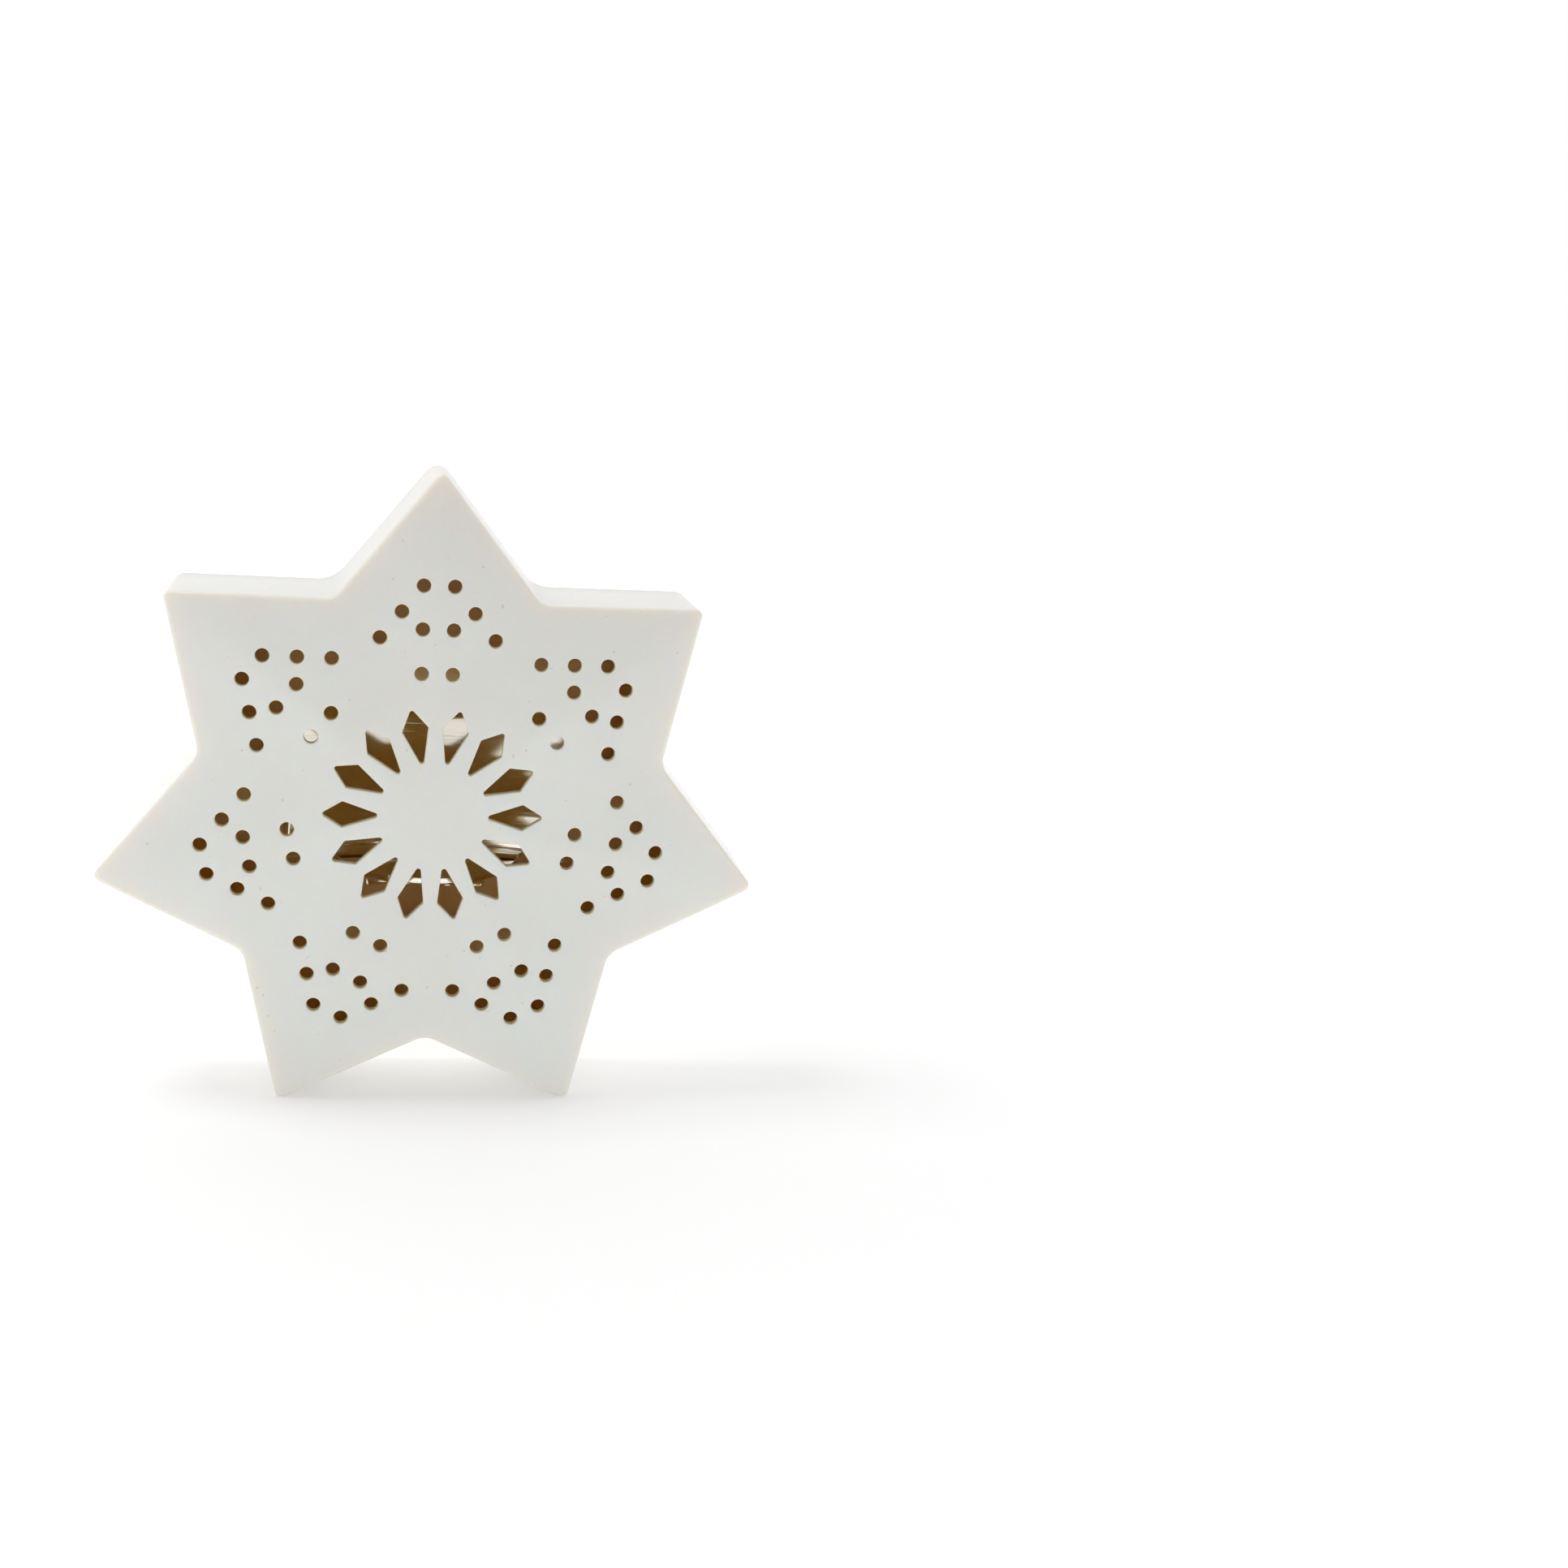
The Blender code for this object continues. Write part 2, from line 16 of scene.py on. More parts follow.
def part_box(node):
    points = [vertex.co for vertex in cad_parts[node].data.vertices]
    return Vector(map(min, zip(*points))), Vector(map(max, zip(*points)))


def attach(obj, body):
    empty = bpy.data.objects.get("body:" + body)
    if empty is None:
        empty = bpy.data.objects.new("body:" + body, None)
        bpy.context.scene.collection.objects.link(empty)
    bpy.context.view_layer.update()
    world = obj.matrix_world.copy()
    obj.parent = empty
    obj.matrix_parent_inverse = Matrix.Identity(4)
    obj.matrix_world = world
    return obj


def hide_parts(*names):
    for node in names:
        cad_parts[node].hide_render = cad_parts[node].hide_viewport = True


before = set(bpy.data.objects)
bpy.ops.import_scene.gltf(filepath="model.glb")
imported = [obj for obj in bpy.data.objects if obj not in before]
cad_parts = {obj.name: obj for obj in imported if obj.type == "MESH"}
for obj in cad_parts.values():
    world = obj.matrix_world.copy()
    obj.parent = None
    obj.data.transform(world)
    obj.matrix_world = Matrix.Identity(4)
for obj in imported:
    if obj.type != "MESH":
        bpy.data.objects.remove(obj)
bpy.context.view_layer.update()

# ---------------------------------------------------------------------------------------------
# The shell. Slip-cast porcelain, about 3.5 mm thick: a domed front with soft ridges, straight
# side walls and an open back. The light holes are punched while the clay is leather-hard, so
# their mouths are softly rounded, and the glaze pools and thins over every edge.
# ---------------------------------------------------------------------------------------------

MM = 0.001
POINTS = 7
TIP_RADIUS = 110.35 * MM
NOTCH_RADIUS = 76.15 * MM
PITCH = 2 * math.pi / POINTS
FIRST_POINT = math.pi / 2
STAND_HEIGHT = 97.7 * MM  # the middle of the star above its feet
FRONT_TIP_ROUND = 2.2 * MM
BACK_TIP_ROUND = 4.8 * MM
FRONT_NOTCH_ROUND = 7 * MM
BACK_NOTCH_ROUND = 11 * MM
DOME_RADIUS = 605 * MM
VALLEY = 0.029  # fall of a valley below its ridges, for each unit of radius
CREASE = 0.2  # softness of a ridge
PLAIN_MIDDLE = 22 * MM  # inside this radius the ridges fade out
FLARE = 0.8 * MM  # the back rim stands out this much further than the front
EDGE_ROUND = 2.0 * MM
RIM_ROUND = 1.0 * MM
SIDE_WALL = 3.5 * MM
FRONT_WALL = 3.3 * MM
INSIDE_CHAMFER = 3.0 * MM
REBATE_DEPTH = 1.7 * MM
REBATE_WALL = 2.2 * MM
DOT_RADIUS = 2.25 * MM
PAIR_RADII = (74.0 * MM, 60.2 * MM, 46.1 * MM)
PAIR_HALF_GAP = 4.9 * MM
CHEVRON_STEP = 10.8 * MM
PETALS = 2 * POINTS
PETAL_INNER, PETAL_WIDEST, PETAL_OUTER = 16.0 * MM, 28.8 * MM, 35.7 * MM
PETAL_WIDTH = 8.5 * MM
PETAL_ROUND = 0.8 * MM
MOUTH_ROUND = 0.5 * MM  # rounding of a hole's mouth
ON_FRONT = 0.04 * MM  # a vertex this close to the dome belongs to the glazed front
WELD = 0.001 * MM
PUNCH_THROUGH = 4 * MM  # how far a punch goes on behind the front wall
PUNCH_LIFT = 0.03 * MM  # a punch stops widening this far ahead of the front
CUTTER_CLEAR = 2 * MM  # a cutter starts this far outside the clay
DOME_RINGS = 26
CAVITY_RINGS = 10
DOT_SIDES = 32
PETAL_CORNER_STEPS = 6

shell_low, shell_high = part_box("star_shell")
DEPTH = shell_high.y - shell_low.y
STAND = Matrix.Translation((0, shell_high.y, STAND_HEIGHT)) @ Matrix.Rotation(math.pi / 2, 4, "X")
TIP_HALF_ANGLE = math.atan2(
    NOTCH_RADIUS * math.sin(PITCH / 2), TIP_RADIUS - NOTCH_RADIUS * math.cos(PITCH / 2)
)
NOTCH_HALF_ANGLE = TIP_HALF_ANGLE + PITCH / 2


def arc(centre, radius, start, end, steps):
    """Points on an arc from one angle to another, both ends included."""
    turns = [start + (end - start) * i / steps for i in range(steps + 1)]
    return [centre + radius * Vector((math.cos(a), math.sin(a))) for a in turns]


def star_outline(offset, tip_round, notch_round, arc_steps=8, edge_steps=14):
    """The star's outline, anticlockwise from the top point, moved out by offset."""
    tip = TIP_RADIUS + (offset - tip_round) / math.sin(TIP_HALF_ANGLE)
    notch = NOTCH_RADIUS + (offset + notch_round) / math.sin(NOTCH_HALF_ANGLE)
    tip_swing = math.pi / 2 - TIP_HALF_ANGLE
    notch_swing = math.pi / 2 - NOTCH_HALF_ANGLE
    corners = []
    for k in range(POINTS):
        toward = FIRST_POINT + k * PITCH
        centre = tip * Vector((math.cos(toward), math.sin(toward)))
        corners.append(arc(centre, tip_round, toward - tip_swing, toward + tip_swing, arc_steps))
        away = toward + PITCH / 2
        centre = notch * Vector((math.cos(away), math.sin(away)))
        back = away + math.pi
        corners.append(arc(centre, notch_round, back + notch_swing, back - notch_swing, arc_steps))
    outline = []
    for corner, following in zip(corners, corners[1:] + corners[:1]):
        outline += corner
        outline += [corner[-1].lerp(following[0], i / edge_steps) for i in range(1, edge_steps)]
    return outline


def dome(x, y):
    """How far the front has fallen behind its middle at (x, y)."""
    radius = math.hypot(x, y)
    if radius == 0:
        return 0
    swing = abs(math.sin((math.atan2(y, x) - FIRST_POINT) * POINTS / 2))
    fold = (math.hypot(swing, CREASE) - CREASE) / (math.hypot(1, CREASE) - CREASE)
    fold *= radius**2 / (radius**2 + PLAIN_MIDDLE**2)
    return DOME_RADIUS - math.sqrt(DOME_RADIUS**2 - radius**2) + VALLEY * radius * fold


def front_at(x, y):
    """How far the front stands ahead of the back rim at (x, y)."""
    return DEPTH - dome(x, y)


def front_normal(x, y):
    step = 0.2 * MM
    across = (front_at(x + step, y) - front_at(x - step, y)) / (2 * step)
    up = (front_at(x, y + step) - front_at(x, y - step)) / (2 * step)
    return Vector((-across, -up, 1)).normalized()


def object_from(name, bm, sharp=35):
    """A mesh object from bm, moved from the star's axes to the scene's."""
    bmesh.ops.recalc_face_normals(bm, faces=bm.faces)
    bm.transform(STAND)
    mesh = bpy.data.meshes.new(name)
    bm.to_mesh(mesh)
    bm.free()
    mesh.shade_smooth()
    mesh.set_sharp_from_angle(angle=math.radians(sharp))
    thing = bpy.data.objects.new(name, mesh)
    bpy.context.scene.collection.objects.link(thing)
    return thing


def settle(thing, sharp=35):
    """Applies an object's modifiers and shades it smooth again."""
    bpy.context.view_layer.update()
    solid = thing.evaluated_get(bpy.context.evaluated_depsgraph_get())
    mesh = bpy.data.meshes.new_from_object(solid)
    mesh.name = thing.name
    thing.modifiers.clear()
    thing.data = mesh
    mesh.shade_smooth()
    mesh.set_sharp_from_angle(angle=math.radians(sharp))


def cut(thing, *cutters):
    """Cuts the cutters out of a piece and throws them away."""
    for cutter in cutters:
        boolean = thing.modifiers.new(cutter.name, "BOOLEAN")
        boolean.operation = "DIFFERENCE"
        boolean.solver = "MANIFOLD"
        boolean.object = cutter
    settle(thing)
    for cutter in cutters:
        bpy.data.objects.remove(cutter)


def skin(name, inset, front_depth, back_rings, edge_cut, dome_scales, outline_steps):
    """A closed star-shaped skin: rings at the back, side walls, a worked front edge, a dome."""
    rings = []

    def rounds_at(share):
        tip = BACK_TIP_ROUND + (FRONT_TIP_ROUND - BACK_TIP_ROUND) * share + inset / 4
        notch = BACK_NOTCH_ROUND + (FRONT_NOTCH_ROUND - BACK_NOTCH_ROUND) * share + inset
        return tip, notch

    for z, offset in back_rings:
        share = z / DEPTH
        line = star_outline(offset + FLARE * (1 - share), *rounds_at(share), *outline_steps)
        rings.append([Vector((p.x, p.y, z)) for p in line])
    radius, steps = edge_cut
    rim = star_outline(-inset, *rounds_at(1), *outline_steps)
    for i in range(steps + 1):
        turn = math.pi / 2 * i / steps
        pulled = radius * (1 - math.cos(turn))
        lowered = radius * (1 - math.sin(turn))
        line = star_outline(-inset - pulled, *rounds_at(1), *outline_steps)
        heights = [front_depth - dome(p.x, p.y) - lowered for p in rim]
        rings.append([Vector((p.x, p.y, z)) for p, z in zip(line, heights)])
    inner_edge = rings[-1]
    for scale in dome_scales:
        ring = [point.xy * scale for point in inner_edge]
        rings.append([Vector((p.x, p.y, front_depth - dome(p.x, p.y))) for p in ring])
    bm = bmesh.new()
    rows = [[bm.verts.new(point) for point in ring] for ring in rings]
    for row, following in zip(rows, rows[1:]):
        for i, vert in enumerate(row):
            j = (i + 1) % len(row)
            bm.faces.new((vert, row[j], following[j], following[i]))
    bm.faces.new(rows[0])
    middle = bm.verts.new((0, 0, front_depth))
    for i, vert in enumerate(rows[-1]):
        bm.faces.new((vert, rows[-1][(i + 1) % len(rows[-1])], middle))
    return object_from(name, bm)


def dot_places():
    """The round holes: on each point three pairs beside its ridge, and from the outermost pair
    two more on each side, in line with the star's edge."""
    places = []
    for k in range(POINTS):
        turn = Matrix.Rotation(k * PITCH, 2)
        for side in (-1, 1):
            spots = [Vector((side * PAIR_HALF_GAP, radius)) for radius in PAIR_RADII]
            along = Vector((side * math.sin(TIP_HALF_ANGLE), -math.cos(TIP_HALF_ANGLE)))
            spots += [spots[0] + along * CHEVRON_STEP * i for i in (1, 2)]
            places += [turn @ spot for spot in spots]
    return places


def rounded_corner(before, corner, after, radius, steps):
    """Points of an arc of that radius in place of a corner."""
    back, ahead = (before - corner).normalized(), (after - corner).normalized()
    half = back.angle(ahead) / 2
    middle = corner + (back + ahead).normalized() * radius / math.sin(half)
    first = corner + back * radius / math.tan(half)
    last = corner + ahead * radius / math.tan(half)
    spokes = [first.lerp(last, i / steps) - middle for i in range(steps + 1)]
    return [middle + spoke.normalized() * radius for spoke in spokes]


def petal_outline():
    """A kite that points outwards along +y, with rounded corners, anticlockwise."""
    half = PETAL_WIDTH / 2
    kite = [(0, PETAL_INNER), (half, PETAL_WIDEST), (0, PETAL_OUTER), (-half, PETAL_WIDEST)]
    kite = [Vector(corner) for corner in kite]
    outline = []
    for i, corner in enumerate(kite):
        after = kite[(i + 1) % len(kite)]
        outline += rounded_corner(kite[i - 1], corner, after, PETAL_ROUND, PETAL_CORNER_STEPS)
    return outline


def punch(bm, outline):
    """Adds a cutter to bm for one hole, its mouth opening out where it meets the front."""
    count = len(outline)
    outward = []
    for i in range(count):
        along = outline[(i + 1) % count] - outline[i - 1]
        outward.append(Vector((along.y, -along.x)).normalized())
    mouth = [(0, FRONT_WALL + PUNCH_THROUGH)]
    for degrees in (0, 20, 40, 60, 75):
        turn = math.radians(degrees)
        mouth.append((MOUTH_ROUND * (1 - math.cos(turn)), MOUTH_ROUND * (1 - math.sin(turn))))
    mouth += [(MOUTH_ROUND, -PUNCH_LIFT), (MOUTH_ROUND, -CUTTER_CLEAR)]
    rows = []
    for offset, below in mouth:
        ring = [p + n * offset for p, n in zip(outline, outward)]
        rows.append([bm.verts.new((p.x, p.y, front_at(p.x, p.y) - below)) for p in ring])
    for row, following in zip(rows, rows[1:]):
        for i in range(count):
            j = (i + 1) % count
            bm.faces.new((row[i], row[j], following[j], following[i]))
    bm.faces.new(rows[0])
    bm.faces.new(rows[-1])


def blend_front_normals(thing):
    """Gives the glazed front the dome's own normals, so that the facets between the holes don't
    show in its reflections."""
    mesh = thing.data
    back_to_star = STAND.inverted()
    turn = STAND.to_3x3()
    normals = np.empty(len(mesh.loops) * 3, dtype=np.float32)
    mesh.corner_normals.foreach_get("vector", normals)
    normals = normals.reshape(-1, 3)
    spots = [back_to_star @ vert.co for vert in mesh.vertices]
    on_front = [abs(p.z - front_at(p.x, p.y)) < ON_FRONT for p in spots]
    true_normal = {}
    for face in mesh.polygons:
        for corner in face.loop_indices:
            i = mesh.loops[corner].vertex_index
            if not on_front[i]:
                continue
            if i not in true_normal:
                true_normal[i] = turn @ front_normal(spots[i].x, spots[i].y)
            if face.normal.dot(true_normal[i]) > 0.8:
                normals[corner] = true_normal[i]
    mesh.normals_split_custom_set([Vector(n) for n in normals])


outside_back = [(0, -RIM_ROUND)]
for degrees in (22, 45, 68, 90):
    turn = math.radians(degrees)
    outside_back.append((RIM_ROUND * (1 - math.cos(turn)), -RIM_ROUND * (1 - math.sin(turn))))
outside_back += [(DEPTH * share, 0) for share in (0.25, 0.5, 0.7)]
dome_scales = [1 - i / DOME_RINGS for i in range(1, DOME_RINGS)]
shell = skin("porcelain_star", 0, DEPTH, outside_back, (EDGE_ROUND, 7), dome_scales, (8, 14))

cavity_back = [
    (-CUTTER_CLEAR, -REBATE_WALL),
    (REBATE_DEPTH, -REBATE_WALL),
    (REBATE_DEPTH, -SIDE_WALL),
]
cavity_scales = [1 - i / CAVITY_RINGS for i in range(1, CAVITY_RINGS)]
ceiling = DEPTH - FRONT_WALL
cavity = skin(
    "cavity", SIDE_WALL, ceiling, cavity_back, (INSIDE_CHAMFER, 4), cavity_scales, (4, 6)
)

punches = bmesh.new()
last_side = 2 * math.pi * (DOT_SIDES - 1) / DOT_SIDES
for place in dot_places():
    punch(punches, arc(place, DOT_RADIUS, 0, last_side, DOT_SIDES - 1))
for k in range(PETALS):
    turn = Matrix.Rotation((k + 0.5) * 2 * math.pi / PETALS, 2)
    punch(punches, [turn @ point for point in petal_outline()])
light_holes = object_from("light_holes", punches)

# the grinding wheel's flat, which takes the two lower points off level
ground = bmesh.new()
bmesh.ops.create_cube(ground, size=1)
wheel = Vector((4 * TIP_RADIUS, 20 * MM, 4 * DEPTH))
bmesh.ops.scale(ground, vec=wheel, verts=ground.verts)
below_feet = (0, -STAND_HEIGHT - wheel.y / 2, DEPTH / 2)
bmesh.ops.translate(ground, vec=below_feet, verts=ground.verts)
grinder = object_from("grinder", ground)

cut(shell, cavity, light_holes, grinder)
blend_front_normals(shell)


def node_adder(tree):
    """A function that adds a node to tree, sets it and wires or fills its inputs."""

    def add(kind, inputs=(), **settings):
        node = tree.nodes.new(kind)
        for key, value in settings.items():
            setattr(node, key, value)
        for socket, value in dict(inputs).items():
            if isinstance(value, bpy.types.NodeSocket):
                tree.links.new(value, node.inputs[socket])
            else:
                node.inputs[socket].default_value = value
        return node

    return add


def new_material(name):
    """A material with its nodes, its Principled shader and a way to add a node to it."""
    material = bpy.data.materials.new(name)
    material.use_nodes = True
    tree = material.node_tree
    return material, tree, tree.nodes["Principled BSDF"], node_adder(tree)


def ramp(node, stops):
    """Sets a colour ramp's stops, as (position, grey) or (position, colour)."""
    elements = node.color_ramp.elements
    while len(elements) > 1:
        elements.remove(elements[-1])
    for i, (position, colour) in enumerate(stops):
        stop = elements[0] if i == 0 else elements.new(position)
        stop.position = position
        grey = isinstance(colour, (int, float))
        stop.color = (colour, colour, colour, 1) if grey else (*colour, 1)


def porcelain_glaze():
    material, tree, shader, add = new_material("porcelain_glaze")
    where = add("ShaderNodeTexCoord").outputs["Object"]
    form = add("ShaderNodeNewGeometry")

    # the body: a warm white, a little uneven, with a few iron specks
    cloud = add("ShaderNodeTexNoise", {"Vector": where, "Scale": 22.0, "Detail": 3.0})
    body = add("ShaderNodeValToRGB", {"Fac": cloud.outputs["Fac"]})
    ramp(body, [(0.35, (0.825, 0.80, 0.755)), (0.65, (0.85, 0.83, 0.79))])
    specks = add("ShaderNodeTexNoise", {"Vector": where, "Scale": 620.0, "Detail": 0.0})
    speck = add("ShaderNodeValToRGB", {"Fac": specks.outputs["Fac"]})
    ramp(speck, [(0.845, 0.0), (0.87, 1.0)])
    speck_share = add("ShaderNodeMath", {0: speck.outputs["Color"], 1: 0.35}, operation="MULTIPLY")
    specked = add(
        "ShaderNodeMix",
        {"Factor": speck_share.outputs[0], "A": body.outputs["Color"], "B": (0.42, 0.34, 0.24, 1)},
        data_type="RGBA",
    )

    # painted light and shade: the glaze colour is scaled up to 9 per cent lighter at the feet and 6
    # per cent darker at the top point, standing in for light from the table below
    place = add("ShaderNodeSeparateXYZ", {"Vector": where})
    painted_light_ramp = add(
        "ShaderNodeMapRange",
        {
            "Value": place.outputs["Z"],
            "From Max": shell_high.z,
            "To Min": 1.09,
            "To Max": 0.94,
        },
    )
    body_with_painted_light = add(
        "ShaderNodeVectorMath",
        {0: specked.outputs["Result"], "Scale": painted_light_ramp.outputs["Result"]},
        operation="SCALE",
    )

    # the glaze thins over edges, where the body shows through a little warmer
    facing = add("ShaderNodeSeparateXYZ", {"Vector": form.outputs["Normal"]})
    forward = add("ShaderNodeMath", {0: facing.outputs["Y"], 1: -1.0}, operation="MULTIPLY")
    thin = add("ShaderNodeValToRGB", {"Fac": forward.outputs[0]})
    ramp(thin, [(0.05, 0.0), (0.4, 0.3), (0.8, 0.3), (0.97, 0.0)])
    edged = add(
        "ShaderNodeMix",
        {
            "Factor": thin.outputs["Color"],
            "A": body_with_painted_light.outputs["Vector"],
            "B": (0.83, 0.775, 0.655, 1),
        },
        data_type="RGBA",
    )

    # the back rim is wiped clean of glaze before the firing
    rim = add(
        "ShaderNodeMapRange",
        {
            "Value": place.outputs["Y"],
            "From Min": shell_high.y - 1.1 * MM,
            "From Max": shell_high.y - 0.7 * MM,
        },
    )
    bare = add(
        "ShaderNodeMix",
        {
            "Factor": rim.outputs["Result"],
            "A": edged.outputs["Result"],
            "B": (0.80, 0.76, 0.69, 1),
        },
        data_type="RGBA",
    )
    tree.links.new(bare.outputs["Result"], shader.inputs["Base Color"])

    gloss = add("ShaderNodeTexNoise", {"Vector": where, "Scale": 60.0, "Detail": 4.0})
    sheen = add(
        "ShaderNodeMapRange", {"Value": gloss.outputs["Fac"], "To Min": 0.30, "To Max": 0.40}
    )
    matt = add(
        "ShaderNodeMix", {"Factor": rim.outputs["Result"], "A": sheen.outputs[0], "B": 0.75}
    )
    tree.links.new(matt.outputs["Result"], shader.inputs["Roughness"])

    ripple = add("ShaderNodeTexNoise", {"Vector": where, "Scale": 38.0, "Detail": 1.0})
    peel = add("ShaderNodeTexNoise", {"Vector": where, "Scale": 900.0, "Detail": 2.0})
    slow = add(
        "ShaderNodeBump",
        {"Height": ripple.outputs["Fac"], "Strength": 0.25, "Distance": 0.25 * MM},
    )
    fine = add(
        "ShaderNodeBump",
        {
            "Height": peel.outputs["Fac"],
            "Strength": 0.12,
            "Distance": 0.02 * MM,
            "Normal": slow.outputs["Normal"],
        },
    )
    tree.links.new(fine.outputs["Normal"], shader.inputs["Normal"])

    shader.inputs["Subsurface Weight"].default_value = 0.7
    shader.inputs["Subsurface Radius"].default_value = (1.0, 0.55, 0.28)
    shader.inputs["Subsurface Scale"].default_value = 6 * MM
    shader.inputs["IOR"].default_value = 1.5
    shader.inputs["Coat Weight"].default_value = 0.3
    shader.inputs["Coat Roughness"].default_value = 0.12
    return material


def bare_porcelain():
    """The unglazed inside, warmer and matt, as light comes to it through the clay."""
    material, tree, shader, add = new_material("bare_porcelain")
    where = add("ShaderNodeTexCoord").outputs["Object"]
    cloud = add("ShaderNodeTexNoise", {"Vector": where, "Scale": 40.0, "Detail": 4.0})
    body = add("ShaderNodeValToRGB", {"Fac": cloud.outputs["Fac"]})
    ramp(body, [(0.3, (0.81, 0.72, 0.50)), (0.7, (0.85, 0.76, 0.56))])
    tree.links.new(body.outputs["Color"], shader.inputs["Base Color"])
    grain = add("ShaderNodeTexNoise", {"Vector": where, "Scale": 1800.0, "Detail": 3.0})
    tooth = add(
        "ShaderNodeBump", {"Height": grain.outputs["Fac"], "Strength": 0.3, "Distance": 0.05 * MM}
    )
    tree.links.new(tooth.outputs["Normal"], shader.inputs["Normal"])
    shader.inputs["Roughness"].default_value = 0.7
    shader.inputs["Subsurface Weight"].default_value = 0.6
    shader.inputs["Subsurface Radius"].default_value = (1.0, 0.7, 0.35)
    shader.inputs["Subsurface Scale"].default_value = 6 * MM
    return material


def leave_inside_bare(thing):
    """Gives the second material to the faces of the cavity, those that look back or inwards, and
    to the walls of the light holes."""
    dots = dot_places()
    back_to_star = STAND.inverted()
    to_star = back_to_star.to_3x3()
    for face in thing.data.polygons:
        spot = back_to_star @ face.center
        facing = to_star @ face.normal
        below = front_at(spot.x, spot.y) - spot.z
        ceiling_face = facing.z < -0.3 and spot.z > REBATE_DEPTH + MM
        wall_face = abs(facing.z) < 0.9 and facing.xy.dot(spot.xy) < 0 and below > FRONT_WALL
        hole_face = False
        if abs(facing.z) < 0.8 and MOUTH_ROUND / 3 < below < FRONT_WALL + 0.2 * MM:
            in_petal = spot.xy.length < PETAL_OUTER + MM
            hole_face = in_petal or any((spot.xy - dot).length < DOT_RADIUS + MM for dot in dots)
        face.material_index = 1 if ceiling_face or wall_face or hole_face else 0


shell.data.materials.clear()
shell.data.materials.append(porcelain_glaze())
shell.data.materials.append(bare_porcelain())
leave_inside_bare(shell)
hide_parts("star_shell")
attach(shell, "shell")

# ---------------------------------------------------------------------------------------------
# The insert's sheet pieces. A star-shaped plate, satin and gold-tinted, drops into the rebate of
# the back rim. A reflector rolled to a shallow hollow and a folded tray are riveted to it, both
# cut from one champagne-tinted sheet, mirror bright with fine handling scratches.
# ---------------------------------------------------------------------------------------------

GAP = 0.35 * MM
PLATE_SHEET = 0.6 * MM
PLATE_BACK = 0.7 * MM
PLATE_FRONT = PLATE_BACK + PLATE_SHEET
FINGER_HOLE_RADIUS = 8 * MM
FINGER_HOLE_HEIGHT = -54 * MM
SHEET = 0.4 * MM
REFLECTOR_RADIUS = 140 * MM
REFLECTOR_LEAN = math.radians(7.3)
REFLECTOR_TOP = 27 * MM
REFLECTOR_HALF_WIDTH = 47 * MM
TRAY_FLOOR = -23.5 * MM
TRAY_HALF_WIDTH = 31 * MM
TRAY_WIDEST = 7 * MM
TRAY_FRONT = 46.8 * MM
TRAY_LIP = 2 * MM
LIP_START = 13 * MM
FLANGE_HEIGHT = 12 * MM
FLANGE_HALF_WIDTH = 20 * MM
FOLD_ROUND = 0.6 * MM
FOLD_STEPS = 4
RIVET_SPACING = 26 * MM
RIVET_DROP = 7.2 * MM
RIVET_SHANK = 1.25 * MM
RIVET_HEAD = 2.6 * MM
RIVET_HEAD_RISE = 0.5 * MM
TOP_RIVET_HEIGHT = 23 * MM
EDGE_BREAK = 0.12 * MM  # how far a sheet's cut edge is rounded


def polished_sheet():
    material, tree, shader, add = new_material("polished_sheet")
    where = add("ShaderNodeTexCoord").outputs["Object"]

    tint = add("ShaderNodeTexNoise", {"Vector": where, "Scale": 14.0, "Detail": 2.0})
    colour = add("ShaderNodeValToRGB", {"Fac": tint.outputs["Fac"]})
    ramp(colour, [(0.3, (0.88, 0.83, 0.73)), (0.7, (0.92, 0.88, 0.80))])
    tree.links.new(colour.outputs["Color"], shader.inputs["Base Color"])

    smudge = add("ShaderNodeTexNoise", {"Vector": where, "Scale": 45.0, "Detail": 5.0})
    haze = add(
        "ShaderNodeMapRange",
        {
            "Value": smudge.outputs["Fac"],
            "From Min": 0.35,
            "From Max": 0.75,
            "To Min": 0.03,
            "To Max": 0.11,
        },
    )
    tree.links.new(haze.outputs["Result"], shader.inputs["Roughness"])

    scratches = None
    for degrees in (17, 64, 118):
        aligned = add(
            "ShaderNodeMapping",
            {
                "Vector": where,
                "Rotation": (0.0, math.radians(degrees), 0.0),
                "Scale": (25.0, 25.0, 5200.0),
            },
        )
        hair = add("ShaderNodeTexNoise", {"Vector": aligned.outputs[0], "Scale": 1.0, "Detail": 1.0})
        line = add(
            "ShaderNodeMapRange",
            {"Value": hair.outputs["Fac"], "From Min": 0.68, "From Max": 0.74},
        )
        settings = {"Height": line.outputs["Result"], "Strength": 0.10, "Distance": 0.02 * MM}
        if scratches:
            settings["Normal"] = scratches.outputs["Normal"]
        scratches = add("ShaderNodeBump", settings)
    tree.links.new(scratches.outputs["Normal"], shader.inputs["Normal"])
    shader.inputs["Metallic"].default_value = 1.0
    return material


